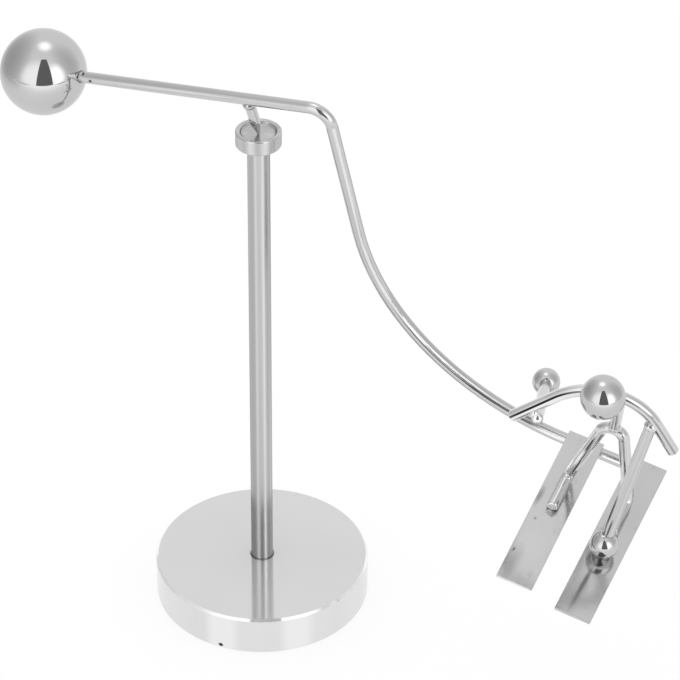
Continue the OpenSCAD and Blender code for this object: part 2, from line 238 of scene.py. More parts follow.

# right pole: dark painted reflection lines near its foot
poleLook = {**wireLook, "lines": [(-114, 18, (106.7, -10.6, 68.5), 4.6, 0.17, 2.0),
                                  (-139, 15, (107.1, -10.3, 69.8), 5.6, 0.17, 2.0),
                                  (-181, 12, (106.8, -12.0, 64.7), 3.6, 0.14, 2.0)]}
kit = greyFinish("polePlating", poleLook)
paintLines(kit, poleLook["lines"])
polePlating = kit["material"]

# the skier's own wire is painted a little brighter as a painted highlight, with painted dark reflection lines and
# painted highlight lines on the right foot and the left leg
figureLook = {**wireLook, "dark": 0.57, "light": 0.72,
              "lines": [(-160, 22, (106.9, -1.8, 59.2), 9.0, 0.20, 0.75),
                        (-100, 12, (95.6, 1.1, 80.0), 5.0, 0.08, 2.0),
                        (-70, 32, (94.2, 2.0, 75.8), 9.0, 0.40, 1.2),
                        (-108, 34, (92.6, 2.6, 73.3), 5.5, 0.98, 1.5),
                        (-140, 22, (89.9, 3.9, 68.9), 3.5, 0.98, 2.0)]}
kit = greyFinish("figurePlating", figureLook)
paintLines(kit, figureLook["lines"])
figurePlating = kit["material"]

# arms: one painted dark reflection line along the wire, and a painted highlight on the left arm, where the line
# bites deeper
armsLook = {**figureLook, "shineAt": (85.5, -11.8, 99.8), "shineSize": (20, 20, 20), "shineTone": 0.95,
            "shineShare": 0.75, "darkLine": (-121, 14), "darkTone": 0.02, "darkShare": 0.5, "deepShare": 1.6}
kit = greyFinish("armsPaintedLight", armsLook)
shine = spotLevel(kit, armsLook["shineAt"], armsLook["shineSize"])
line = lineLevel(kit, *armsLook["darkLine"])
# painted highlight on the left arm, then the painted dark reflection line, darker inside the highlight
paintMark(kit, shine, armsLook["shineTone"], armsLook["shineShare"])
paintMark(kit, line, armsLook["darkTone"], armsLook["darkShare"])
paintMark(kit, within(kit, line, shine), armsLook["darkTone"], armsLook["deepShare"])
armsPaintedLight = kit["material"]

# cut ends of the wire, paler on the toes, where the extra paleness is a painted highlight
cutLook = {"metal": 1.0, "dark": 0.78, "light": 0.92, "rough": (0.10, 0.20), "cloud": 800, "grain": 2000,
           "bump": 0.03}
cutBright = greyFinish("cutBright", cutLook)["material"]
toeLook = {**cutLook, "metal": 0.45, "dark": 0.88, "light": 0.98}
toeHighlight = greyFinish("toeHighlight", toeLook)["material"]

# balls
ballLook = {"metal": 1.0, "edge": 0.92, "dark": 0.53, "light": 0.565, "rough": (0.02, 0.05), "cloud": 60,
            "grain": 400, "bump": 0.015}
ballPlating = greyFinish("ballPlating", ballLook)["material"]

# skis: dirt is a smudge and a speck cloud (stretch, scale, detail, span, share, tone); marks lie with the strips
# and are mostly painted shade, painted shadow and painted reflections
skiLook = {"metal": 1.0, "edge": 0.5, "dark": 0.52, "light": 0.57, "rough": (0.12, 0.16), "stretch": (1, 0.5, 1),
           "cloud": 70, "grain": 900, "bump": 0.03,
           "dirt": [((1, 0.6, 1), 260, 5.0, (0.60, 0.74), 0.5, 0.40),
                    ((1, 1, 1), 900, 1.0, (0.80, 0.84), 1.0, 0.22)],
           "lie": (12.3, 0, -2.8),
           "marks": [((83.6, -2.2, 61.3), (1.2, 4.5, 1.0), 0.9, 0.22),
                     ((89.2, -1.6, 60.1), (0.8, 6.5, 0.9), 1.3, 0.15),
                     ((85.3, -9.4, 59.4), (0.55, 0.7, 0.5), 0.9, 0.2),
                     ((84.0, -21.1, 57.0), (0.5, 1.0, 0.5), 1.2, 0.16),
                     ((85.1, -25.0, 55.8), (2.4, 8.0, 1.5), 0.55, 0.26),
                     ((104.1, -24.0, 51.9), (2.2, 9.0, 1.5), 0.45, 0.26),
                     ((104.1, -24.0, 51.9), (0.9, 8.5, 1.0), 0.8, 0.12),
                     ((104.3, -19.8, 52.8), (0.8, 5.5, 1.0), 0.8, 0.08)]}
kit = greyFinish("skiPolish", skiLook)
for stretch, scale, detail, span, share, tone in skiLook["dirt"]:
    paintMark(kit, cloudLevel(kit, stretched(kit, stretch), scale, detail, 0.0, share, span), tone)
# marks in order: painted shade along the left ski's left edge, a painted shadow beside the left foot, two small
# dark specks, a painted reflection near the left ski's front, and three painted reflection streaks on the right
# ski under its pole ball
for at, size, share, tone in skiLook["marks"]:
    paintMark(kit, spotLevel(kit, at, size, skiLook["lie"]), tone, share)
skiPolish = kit["material"]
skiEdgeLook = {"metal": 1.0, "dark": 0.46, "light": 0.60, "rough": (0.12, 0.22), "cloud": 400, "grain": 1500,
               "bump": 0.10}
skiEdge = greyFinish("skiEdge", skiEdgeLook)["material"]
# the left ski's front face is paler and less metallic, a painted highlight
skiTipLook = {**skiEdgeLook, "metal": 0.6, "dark": 0.68, "light": 0.78}
skiTipHighlight = greyFinish("skiTipHighlight", skiTipLook)["material"]

# post and cup, with light and dark stripes straight up and down on the side that faces the camera
columnLook = {"metal": 1.0, "edge": 0.65, "dark": 0.39, "light": 0.61, "rough": (0.16, 0.28),
              "stretch": (1, 1, 0.012), "cloud": 430, "grain": 3000, "bump": 0.12,
              "stripes": [((-0.9, -2.9, 80), 1.6, 0.5, 0.36), ((0.35, -3.0, 80), 0.5, 0.7, 0.68),
                          ((1.2, -2.8, 80), 0.8, 0.5, 0.44), ((2.16, -2.15, 80), 0.5, 0.8, 0.78),
                          ((2.8, -1.2, 80), 0.9, 0.8, 0.38)]}
kit = greyFinish("columnPolish", columnLook)
paintStripes(kit, columnLook["stripes"])
columnPolish = kit["material"]
cupLook = {"metal": 0.75, "edge": 0.55, "dark": 0.46, "light": 0.59, "rough": (0.14, 0.24),
           "stretch": (1, 1, 0.05), "cloud": 330, "grain": 2500, "bump": 0.10,
           "stripes": [((0.5, -6.1, 152), 1.6, 1.0, 0.68), ((2.5, -5.6, 152), 1.1, 0.8, 0.42),
                       ((4.1, -4.6, 152), 1.4, 1.0, 0.68)]}
kit = greyFinish("cupSatin", cupLook)
paintStripes(kit, cupLook["stripes"])
cupSatin = kit["material"]

# base: polished top, a chamfer painted pale and less metallic as a highlight, satin side with lighter bands that
# are a painted reflection, and one nick in the lower edge
baseTopLook = {"metal": 0.58, "dark": 0.645, "light": 0.665, "rough": (0.06, 0.10), "cloud": 30, "grain": 900,
               "bump": 0.02}
baseTopPolish = greyFinish("baseTopPolish", baseTopLook)["material"]
# the chamfer's paleness is a painted highlight
chamferLook = {"metal": 0.6, "dark": 0.84, "light": 0.96, "rough": (0.04, 0.08), "cloud": 300, "grain": 1500,
               "bump": 0.05}
chamferHighlight = greyFinish("chamferHighlight", chamferLook)["material"]
baseSideLook = {"metal": 1.0, "dark": 0.68, "light": 0.78, "rough": (0.14, 0.22), "stretch": (1, 1, 0.02),
                "cloud": 28, "grain": 1800, "bump": 0.05, "bands": [(1.6, -30.0, 6.0), (20.9, -21.5, 6.0)],
                "bandSize": (5.5, 5.5, 40.0), "bandTone": 0.84, "bandShare": 2.0, "nickAt": (1.2, -29.9, 1.6),
                "nickSize": (0.8, 0.8, 0.65), "nickTone": 0.05, "nickFade": 0.3}
kit = greyFinish("baseSideSatin", baseSideLook)
# lighter bands on the side, a painted reflection of the floor
for at in baseSideLook["bands"]:
    paintMark(kit, spotLevel(kit, at, baseSideLook["bandSize"]), baseSideLook["bandTone"],
              baseSideLook["bandShare"])
nick = spotLevel(kit, baseSideLook["nickAt"], baseSideLook["nickSize"])
paintMark(kit, levels(kit, nick, (0.0, baseSideLook["nickFade"])), baseSideLook["nickTone"])
baseSideSatin = kit["material"]

# solder, screw and pad
solderLook = {"metal": 1.0, "dark": 0.50, "light": 0.85, "rough": (0.06, 0.20), "cloud": 700, "grain": 1500,
              "bump": 0.35}
solderBright = greyFinish("solderBright", solderLook)["material"]
dullSolderLook = {**solderLook, "dark": 0.28, "light": 0.62, "rough": (0.08, 0.24), "bump": 0.5}
solderDull = greyFinish("solderDull", dullSolderLook)["material"]
screwLook = {"metal": 1.0, "dark": 0.30, "light": 0.38, "rough": (0.30, 0.40), "stretch": (1, 1, 6),
             "cloud": 300, "grain": 2200, "bump": 0.20}
screwSteel = greyFinish("screwSteel", screwLook)["material"]
padLook = {"metal": 0.0, "dark": 0.018, "light": 0.040, "rough": (0.75, 0.95), "cloud": 1400, "grain": 1400,
           "bump": 0.60}
padRubber = greyFinish("padRubber", padLook)["material"]
print("finishes made")

# modelling helpers, all in mm until a piece is finished
modelling = {"weld": 0.0005, "seam": 0.001, "near": 0.01, "sharp": 38, "wireSides": 40, "bendStep": 3,
             "fewestSteps": 6, "cutSteps": 4, "ballSides": 96, "ballRings": 64, "mouthSteps": 2}


def finishPiece(bm, name, place, finish, body, nodeName):
    bmesh.ops.remove_doubles(bm, verts=bm.verts, dist=modelling["weld"])
    bmesh.ops.transform(bm, matrix=Matrix.Scale(mm, 4) @ place, verts=bm.verts)
    bmesh.ops.recalc_face_normals(bm, faces=bm.faces)
    mesh = bpy.data.meshes.new(name)
    bm.to_mesh(mesh)
    bm.free()
    mesh.shade_smooth()
    mesh.set_sharp_from_angle(angle=radians(modelling["sharp"]))
    piece = bpy.data.objects.new(name, mesh)
    scene.collection.objects.link(piece)
    for material in finish:
        mesh.materials.append(material)
    flat = piece.modifiers.new("flatFaces", "WEIGHTED_NORMAL")
    flat.keep_sharp = True
    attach(piece, body)
    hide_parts(nodeName)


def pick(geom, kind):
    return [g for g in geom if isinstance(g, kind)]


def roundEdges(bm, edges, width, segments):
    bmesh.ops.bevel(bm, geom=edges, offset=width, offset_type="OFFSET", segments=segments, profile=0.5,
                    affect="EDGES", material=-1)


def spinProfile(bm, points, steps):
    # a row of (radius, height) points turned once round Z
    rim = [bm.verts.new((r, 0, z)) for r, z in points]
    edges = [bm.edges.new(pair) for pair in zip(rim, rim[1:])]
    bmesh.ops.spin(bm, geom=rim + edges, cent=(0, 0, 0), axis=(0, 0, 1), dvec=(0, 0, 0),
                   angle=tau, steps=steps, use_merge=True)
    bmesh.ops.remove_doubles(bm, verts=bm.verts, dist=modelling["seam"])


def roundRings(bm, radius, height, width, segments=3):
    # bevels the turned edge at this radius and height
    near = modelling["near"]
    ring = [e for e in bm.edges if all(abs(v.co.xy.length - radius) < near and abs(v.co.z - height) < near
                                       for v in e.verts)]
    roundEdges(bm, ring, width, segments)


def startWire(bm, pen, radius):
    # the round layer keeps each point's place round the wire, for the streaks
    layer = bm.verts.layers.float_vector.new("round")
    made = bmesh.ops.create_circle(bm, cap_ends=False, segments=modelling["wireSides"], radius=radius)["verts"]
    for v in made:
        v[layer] = v.co.normalized()
    bmesh.ops.transform(bm, matrix=pen @ Matrix.Rotation(radians(90), 4, "Y"), verts=made)
    return list({e for v in made for e in v.link_edges})


def runWire(bm, ring, pen, length):
    made = bmesh.ops.extrude_edge_only(bm, edges=ring)["geom"]
    bmesh.ops.translate(bm, verts=pick(made, BMVert), vec=pen.to_3x3() @ Vector((length, 0, 0)))
    return pick(made, BMEdge), pen @ Matrix.Translation((length, 0, 0))


def bendWire(bm, ring, pen, radius, angle):
    # turns the open end from the pen's +X towards its -Z
    steps = max(modelling["fewestSteps"], round(angle / modelling["bendStep"]))
    verts = list({v for e in ring for v in e.verts})
    made = bmesh.ops.spin(bm, geom=ring + verts, cent=pen @ Vector((0, 0, -radius)),
                          axis=pen.to_3x3() @ Vector((0, 1, 0)), dvec=(0, 0, 0),
                          angle=radians(angle), steps=steps)["geom_last"]
    pen = pen @ Matrix.Translation((0, 0, -radius)) @ Matrix.Rotation(radians(angle), 4, "Y")
    return pick(made, BMEdge), pen @ Matrix.Translation((0, 0, radius))


def closeWire(bm, rings, width):
    # flat cut ends with a small round
    for ring in rings:
        for face in bmesh.ops.edgeloop_fill(bm, edges=ring)["faces"]:
            face.material_index = 1
        roundEdges(bm, ring, width, modelling["cutSteps"])


def straightRod(bm, start, way, length, radius, width):
    pen = Matrix.Translation(start) @ way.to_track_quat("X", "Z").to_matrix().to_4x4()
    first = startWire(bm, pen, radius)
    last, pen = runWire(bm, first, pen, length)
    closeWire(bm, [first, last], width)


def upAlong(middle, way):
    # moves a shape to a point, with its Z along a direction
    return Matrix.Translation(middle) @ way.to_track_quat("Z", "X").to_matrix().to_4x4()


def boredBall(bm, middle, way, radius, bore, deep, mouthRound=0.15):
    # ball with a blind hole that faces along a direction, its mouth slightly rounded
    bmesh.ops.create_uvsphere(bm, u_segments=modelling["ballSides"], v_segments=modelling["ballRings"],
                              radius=radius)
    level = sqrt(radius ** 2 - bore ** 2)
    bmesh.ops.bisect_plane(bm, geom=bm.verts[:] + bm.edges[:] + bm.faces[:], plane_co=(0, 0, level),
                           plane_no=(0, 0, 1), clear_outer=True)
    mouth = [e for e in bm.edges if e.is_boundary]
    made = bmesh.ops.extrude_edge_only(bm, edges=mouth)["geom"]
    bmesh.ops.translate(bm, verts=pick(made, BMVert), vec=(0, 0, -deep))
    bmesh.ops.edgeloop_fill(bm, edges=pick(made, BMEdge))
    roundEdges(bm, mouth, mouthRound, modelling["mouthSteps"])
    bmesh.ops.transform(bm, matrix=upAlong(middle, way), verts=bm.verts)


# how the balancing part hangs
rest = {"pivotZ": 153.35, "sway": 12.9, "rock": 8.0}
asBuilt = Matrix.Identity(4)
balancing = (Matrix.Translation((0, 0, rest["pivotZ"])) @ Matrix.Rotation(radians(rest["sway"]), 4, "X")
             @ Matrix.Rotation(radians(-rest["rock"]), 4, "Y"))

# base: turned disc with a pad recess, screw counterbore and column seat
base = {"radius": 30, "bottom": 0.5, "top": 12.1, "recess": 26.05, "recessTop": 1.5, "counterbore": 3.1,
        "counterboreTop": 4.05, "screwHole": 1.65, "seat": 3.1, "seatZ": 7.6, "mouth": 3.45, "mouthDeep": 0.35,
        "topRound": 0.6, "topSteps": 1, "bottomRound": 0.5, "bottomSteps": 4, "sideDeep": 0.3, "sides": 160}
bm = bmesh.new()
spinProfile(bm, [(base["screwHole"], base["counterboreTop"]), (base["screwHole"], base["seatZ"]),
                 (base["seat"], base["seatZ"]), (base["seat"], base["top"] - base["mouthDeep"]),
                 (base["mouth"], base["top"]), (base["radius"], base["top"]), (base["radius"], base["bottom"]),
                 (base["recess"], base["bottom"]), (base["recess"], base["recessTop"]),
                 (base["counterbore"], base["recessTop"]), (base["counterbore"], base["counterboreTop"]),
                 (base["screwHole"], base["counterboreTop"])], base["sides"])
roundRings(bm, base["radius"], base["top"], base["topRound"], base["topSteps"])
roundRings(bm, base["radius"], base["bottom"], base["bottomRound"], base["bottomSteps"])
for face in bm.faces:
    spot = face.calc_center_median()
    if spot.xy.length > base["radius"] - base["sideDeep"]:
        face.material_index = 1
    elif spot.xy.length > base["radius"] - base["topRound"] and spot.z > base["top"] - base["topRound"]:
        face.material_index = 2
finishPiece(bm, "turnedBase", asBuilt, [baseTopPolish, baseSideSatin, chamferHighlight], "stand",
            "base_disc")

# column: straight post, bored from below for the screw
post = {"radius": 3.05, "bottom": 7.6, "top": 151.27, "bore": 1.55, "boreTop": 20.6, "edge": 0.25, "sides": 72}
bm = bmesh.new()
spinProfile(bm, [(0, post["boreTop"]), (post["bore"], post["boreTop"]), (post["bore"], post["bottom"]),
                 (post["radius"], post["bottom"]), (post["radius"], post["top"]), (0, post["top"])],
            post["sides"])
roundRings(bm, post["radius"], post["bottom"], post["edge"])
roundRings(bm, post["radius"], post["top"], post["edge"])
finishPiece(bm, "post", asBuilt, [columnPolish], "stand", "column")

# cup: turned cap with a flat-floored dish
cup = {"radius": 6.15, "bottom": 149.9, "top": 154.1, "dish": 4.9, "floor": 4.6, "dishDeep": 1.2, "fall": 0.2,
       "socket": 3.08, "socketTop": 151.3, "edge": 0.35, "rimEdge": 0.32, "floorEdge": 0.6, "edgeSteps": 4,
       "sides": 96}
bm = bmesh.new()
cupFloor = cup["top"] - cup["dishDeep"]
spinProfile(bm, [(0, cupFloor), (cup["floor"], cupFloor + cup["fall"]), (cup["dish"], cup["top"]),
                 (cup["radius"], cup["top"]), (cup["radius"], cup["bottom"]), (cup["socket"], cup["bottom"]),
                 (cup["socket"], cup["socketTop"]), (0, cup["socketTop"])], cup["sides"])
roundRings(bm, cup["radius"], cup["top"], cup["edge"], cup["edgeSteps"])
roundRings(bm, cup["radius"], cup["bottom"], cup["edge"], cup["edgeSteps"])
roundRings(bm, cup["dish"], cup["top"], cup["rimEdge"])
roundRings(bm, cup["floor"], cupFloor + cup["fall"], cup["floorEdge"], cup["edgeSteps"])
finishPiece(bm, "needleCup", asBuilt, [cupSatin], "cup", "pivot_cup")
print("stand and cup made")

# pin: shank with a conical point and a rounded tip
pin = {"radius": 1.45, "tip": 0.4, "tipTurn": 80, "tipSteps": 6, "coneTop": 3.4, "coneRound": 0.2, "top": 10.15,
       "sides": 48}
bm = bmesh.new()
lowest = bm.verts.new((0, 0, -pin["tip"]))
bmesh.ops.spin(bm, geom=[lowest], cent=(0, 0, 0), axis=(0, -1, 0), dvec=(0, 0, 0), angle=radians(pin["tipTurn"]),
               steps=pin["tipSteps"])
tipLine = sorted(((v.co.x, v.co.z) for v in bm.verts), key=lambda p: p[0])
bm.clear()
spinProfile(bm, tipLine + [(pin["radius"], pin["coneTop"]), (pin["radius"], pin["top"]), (0, pin["top"])],
            pin["sides"])
roundRings(bm, pin["radius"], pin["coneTop"], pin["coneRound"])
finishPiece(bm, "needlePin", balancing, [wirePlating], "balancer", "pivot_pin")

# arm: one wire, from inside the ball to past the right ski
arm = {"radius": 1.6, "rise": 11.8, "behind": 56.3, "ahead": 17.7, "bend": 5.4, "bendAngle": 91.9, "drop": 38.4,
       "sweep": 71.6, "tailSlope": 20.0, "tail": 26.6, "tailLead": 14.4, "cut": 0.35}
bm = bmesh.new()
pen = Matrix.Translation((-arm["behind"], 0, arm["rise"]))
first = startWire(bm, pen, arm["radius"])
ring, pen = runWire(bm, first, pen, arm["behind"] + arm["ahead"])
ring, pen = bendWire(bm, ring, pen, arm["bend"], arm["bendAngle"])
ring, pen = runWire(bm, ring, pen, arm["drop"])
pen = pen @ Matrix.Rotation(radians(180), 4, "X")
ring, pen = bendWire(bm, ring, pen, arm["sweep"], arm["bendAngle"] - arm["tailSlope"])
figureAt = pen @ Vector((arm["tailLead"], 0, 0))
ring, pen = runWire(bm, ring, pen, arm["tail"])
closeWire(bm, [first, ring], arm["cut"])
for face in bm.faces:
    spot = face.calc_center_median()
    if spot.x > arm["ahead"] and spot.z < arm["rise"] - arm["bend"] and face.material_index == 0:
        face.material_index = 2
finishPiece(bm, "balanceWire", balancing, [wirePlating, cutBright, sweepPaintedLight], "balancer",
            "balance_arm")
onTail = balancing @ Matrix.Translation(figureAt) @ Matrix.Rotation(radians(arm["tailSlope"]), 4, "Y")

# counterweight
weight = {"radius": 11.7, "reach": 62, "bore": 1.63, "deep": 6.0, "mouth": 0.5}
bm = bmesh.new()
boredBall(bm, Vector((-weight["reach"], 0, arm["rise"])), Vector((1, 0, 0)), weight["radius"], weight["bore"],
          weight["deep"], weight["mouth"])
finishPiece(bm, "counterweight", balancing, [ballPlating], "balancer", "counterweight_ball")
print("arm and counterweight made")

# skis: flat strips with broken edges
ski = {"leftLength": 53.6, "rightLength": 56.1, "width": 10.2, "thick": 0.8, "under": 1.5, "pitch": 18.4,
       "turn": 0.8, "rear": 1.6, "corner": 0.25, "cornerSteps": 4, "edge": 0.1, "edgeSteps": 3, "facing": 0.9}


def makeSki(name, side, length, turn, tip, nodeName):
    bm = bmesh.new()
    half = ski["thick"] / 2
    bmesh.ops.create_cube(bm, size=1)
    bmesh.ops.scale(bm, vec=(ski["width"], length, ski["thick"]), verts=bm.verts)
    bmesh.ops.translate(bm, vec=(0, ski["rear"] - length / 2, half), verts=bm.verts)
    upright = [e for e in bm.edges if abs(e.verts[0].co.z - e.verts[1].co.z) > half]
    roundEdges(bm, upright, ski["corner"], ski["cornerSteps"])
    flat = [e for e in bm.edges if abs(e.verts[0].co.z - e.verts[1].co.z) < half]
    roundEdges(bm, flat, ski["edge"], ski["edgeSteps"])
    for face in bm.faces:
        if face.normal.y < -ski["facing"]:
            face.material_index = 2
        elif abs(face.normal.z) < ski["facing"]:
            face.material_index = 1
    place = (onTail @ Matrix.Translation((side * ski["pitch"] / 2, 0, ski["under"]))
             @ Matrix.Rotation(radians(-turn), 4, "Z"))
    finishPiece(bm, name, place, [skiPolish, skiEdge, tip], "balancer", nodeName)


makeSki("leftSki", -1, ski["leftLength"], 0, skiTipHighlight, "left_ski")
makeSki("rightSki", 1, ski["rightLength"], ski["turn"], skiEdge, "right_ski")
skiTop = ski["under"] + ski["thick"]

# legs: one wire, from toe to toe over the hip
leg = {"radius": 1.6, "pitch": 17.5, "side": 0.3, "ahead": 13.8, "foot": 11.9, "ankle": 2.6, "splay": 12.7,
       "hip": 3.4, "flat": 0.1, "cut": 0.6}
splay = radians(leg["splay"])
shin = (leg["pitch"] / 2 - leg["hip"] * cos(splay)) / sin(splay) - leg["ankle"]
footZ = skiTop + leg["radius"] - leg["flat"]
hipZ = footZ + (shin + leg["ankle"]) * cos(splay) + leg["hip"] * (1 - sin(splay))
hip = Vector((-leg["side"], -leg["ahead"], hipZ))
bm = bmesh.new()
hipLeft = Matrix.Translation(hip + Vector((-leg["hip"] * cos(splay), 0, -leg["hip"] * (1 - sin(splay)))))
hipStart = hipLeft @ Matrix.Rotation(splay - radians(90), 4, "Y")
hipRing = startWire(bm, hipStart, leg["radius"])
toes = []
for side in (1, -1):
    if side > 0:
        ring, pen = bendWire(bm, hipRing, hipStart, leg["hip"], 180 - 2 * leg["splay"])
    else:
        ring, pen = hipRing, hipStart @ Matrix.Rotation(radians(180), 4, "Z")
    ring, pen = runWire(bm, ring, pen, shin)
    pen = pen @ Matrix.Rotation(radians(-90 * side), 4, "X")
    ring, pen = bendWire(bm, ring, pen, leg["ankle"], 90)
    ring, pen = runWire(bm, ring, pen, leg["foot"] - leg["ankle"])
    toes.append(ring)
closeWire(bm, toes, leg["cut"])
finishPiece(bm, "legWire", onTail, [figurePlating, toeHighlight], "balancer", "legs")

# torso between hip and shoulders, its length set by the arms' bend
torso = {"radius": 1.6, "length": 19.9, "lean": 12.0, "gap": 0.05, "cut": 0.2}
arms = {"radius": 1.6, "bend": 17.3, "turn": 11.0, "tilt": 6.0, "shift": 3.2, "leftDrop": 48.4, "leftHand": 15.1,
        "rightDrop": 53.6, "rightHand": 10.7, "cut": 0.35}
torsoWay = Vector((0, -sin(radians(torso["lean"])), cos(radians(torso["lean"]))))
shoulder = hip + torsoWay * torso["length"]
armsTip = asin(arms["shift"] / arms["bend"])
torsoFoot = torso["radius"] + torso["gap"]
torsoNeck = torsoFoot / cos(armsTip) + torso["radius"] * tan(armsTip) + arms["bend"] * (1 - cos(armsTip))
bm = bmesh.new()
straightRod(bm, hip + torsoWay * torsoFoot, torsoWay, torso["length"] - torsoFoot - torsoNeck, torso["radius"],
            torso["cut"])
finishPiece(bm, "torsoRod", onTail, [figurePlating, cutBright], "balancer", "torso")

# arms: one wire from hand to hand over the shoulders
shoulderTurn = radians(arms["turn"])
armsMid = shoulder - Vector((cos(shoulderTurn), sin(shoulderTurn), 0)) * arms["shift"]
armsLocal = (Matrix.Translation(armsMid) @ Matrix.Rotation(shoulderTurn, 4, "Z")
             @ Matrix.Rotation(radians(-arms["tilt"]), 4, "X"))
onArms = onTail @ armsLocal
leftDrop = radians(arms["leftDrop"])
bm = bmesh.new()
pen = (Matrix.Translation((-arms["bend"] * sin(leftDrop), 0, -arms["bend"] * (1 - cos(leftDrop))))
       @ Matrix.Rotation(-leftDrop, 4, "Y") @ Matrix.Translation((-arms["leftHand"], 0, 0)))
first = startWire(bm, pen, arms["radius"])
ring, pen = runWire(bm, first, pen, arms["leftHand"])
ring, pen = bendWire(bm, ring, pen, arms["bend"], arms["leftDrop"] + arms["rightDrop"])
ring, pen = runWire(bm, ring, pen, arms["rightHand"])
closeWire(bm, [first, ring], arms["cut"])
finishPiece(bm, "armWire", onArms, [armsPaintedLight, cutBright], "balancer", "arms")

# head: plain ball in front of the shoulders, seated on its solder
head = {"radius": 5.9, "up": 35.0, "side": 1.3, "gap": 0.05, "bore": 0.6, "deep": 0.6}
headUp = radians(head["up"])
headWay = Vector((0, -cos(headUp), sin(headUp)))
neck = Vector((-head["side"], 0, 0))
bm = bmesh.new()
boredBall(bm, neck + headWay * (head["radius"] + arms["radius"] + head["gap"]), -headWay, head["radius"],
          head["bore"], head["deep"])
finishPiece(bm, "headBall", onArms, [ballPlating], "balancer", "head")

# poles and their balls
poles = {"radius": 1.6, "leftGrip": 8.4, "rightGrip": 48.6, "leftFront": 0.8, "leftBall": (-25.1, 7.9, 3.9),
         "rightAhead": 32.2, "rightIn": 1.0, "ball": 3.85, "socket": 2.5, "bore": 1.63, "gap": 0.05, "clear": 0.1,
         "rim": 0.3, "cut": 1.3, "rightCut": 0.35, "into": 0.8}
armsTurn = armsLocal.to_3x3()
leftArmAt = armsLocal @ Vector((-arms["bend"] * sin(leftDrop) - poles["leftGrip"] * cos(leftDrop), 0,
                                -arms["bend"] * (1 - cos(leftDrop)) - poles["leftGrip"] * sin(leftDrop)))
leftArmWay = armsTurn @ Vector((-cos(leftDrop), 0, -sin(leftDrop)))
ballX, ballY, ballLift = poles["leftBall"]
leftBall = Vector((ballX, ballY, skiTop + poles["ball"] + ballLift))
leftSide = leftArmWay.cross(leftBall - leftArmAt).normalized()
leftTop = leftArmAt + leftSide * (2 * poles["radius"] + poles["gap"])
leftWay = (leftBall - leftTop).normalized()
rightGrip = radians(poles["rightGrip"])
rightArmAt = armsLocal @ Vector((arms["bend"] * sin(rightGrip), 0, -arms["bend"] * (1 - cos(rightGrip))))
rightArmWay = armsTurn @ Vector((cos(rightGrip), 0, -sin(rightGrip)))
rightBall = Vector((ski["pitch"] / 2 - poles["rightIn"], -poles["rightAhead"],
                    skiTop + poles["ball"] + poles["clear"]))
rightWay = (rightBall - rightArmAt).normalized()
rightLean = acos(rightWay.dot(rightArmWay))
rightStop = (poles["radius"] * (1 + cos(rightLean)) + poles["rim"]) / sin(rightLean)
rightTop = rightArmAt + rightWay * rightStop


def poleLength(top, ball):
    return (ball - top).length - poles["ball"] + poles["socket"]


bm = bmesh.new()
straightRod(bm, leftTop - leftWay * poles["leftFront"], leftWay,
            poleLength(leftTop, leftBall) + poles["leftFront"], poles["radius"], poles["cut"])
finishPiece(bm, "leftPole", onTail, [wirePlating, cutBright], "balancer", "left_pole")
bm = bmesh.new()
rightStart = rightArmAt + rightWay * poles["into"]
straightRod(bm, rightStart, rightWay, poleLength(rightStart, rightBall), poles["radius"], poles["rightCut"])
finishPiece(bm, "rightPole", onTail, [polePlating, cutBright], "balancer", "right_pole")
for name, ball, way, nodeName in (("leftPoleBall", leftBall, leftWay, "left_pole_ball"),
                                  ("rightPoleBall", rightBall, rightWay, "right_pole_ball")):
    bm = bmesh.new()
    boredBall(bm, ball, -way, poles["ball"], poles["bore"], poles["socket"])
    finishPiece(bm, name, onTail, [ballPlating], "balancer", nodeName)
print("skier made")

# solder: uneven beads where rods butt against a wire
bead = {"radius": 2.0, "small": 1.5, "squash": 0.85, "rounds": 4, "uneven": 0.12, "lumps": 0.9}


def makeSolder(name, place, finish, nodeName, *beads):
    # each bead has a middle, the direction it is flatter along, a radius and a seed
    bm = bmesh.new()
    for middle, way, radius, seed in beads:
        made = bmesh.ops.create_icosphere(bm, subdivisions=bead["rounds"], radius=radius)["verts"]
        for v in made:
            lump = noise.noise(v.co * bead["lumps"] + Vector((seed, 0, 0)))
            v.co *= 1 - bead["uneven"] * (0.5 + 0.5 * lump)
        bmesh.ops.scale(bm, vec=(1, 1, bead["squash"]), verts=made)
        bmesh.ops.transform(bm, matrix=upAlong(middle, way), verts=made)
    finishPiece(bm, name, place, [finish], "balancer", nodeName)


makeSolder("pinSolder", balancing, solderDull, "pin_weld",
           (Vector((0, 0, arm["rise"] - arm["radius"])), Vector((0, 0, 1)), bead["radius"], 3))
makeSolder("hipSolder", onTail, solderBright, "hip_weld",
           (hip + torsoWay * leg["radius"], torsoWay, bead["radius"], 7))
makeSolder("shoulderSolder", onTail, solderBright, "shoulder_weld",
           (shoulder - torsoWay * torsoNeck, torsoWay, bead["radius"], 11))
makeSolder("neckSolder", onArms, solderBright, "neck_weld",
           (neck + headWay * arms["radius"], headWay, bead["radius"], 17))
makeSolder("poleSolder", onTail, solderBright, "pole_welds",
           ((leftArmAt + leftTop) / 2, leftSide, bead["small"], 23),
           ((rightArmAt + rightTop) / 2, rightWay, bead["radius"], 29))
print("solder made")

# carried-over solids
carried = {"base_pad": padRubber, "column_screw": screwSteel, "ski_welds": solderBright,
           "foot_welds": solderBright}
for nodeName, material in carried.items():
    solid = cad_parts[nodeName]
    solid.data.materials.clear()
    solid.data.materials.append(material)
print("carried solids finished")

# floor and world: white to the camera and in the metal, with a faint shadow left on the floor; all in metres
studio = {"middle": (0.02, 0, 0.09), "floor": 6.0, "floorCells": 4, "floorTone": 0.96, "shadowShare": 0.12,
          "ambient": 1.0, "white": 1.0, "cardLift": 0.002}


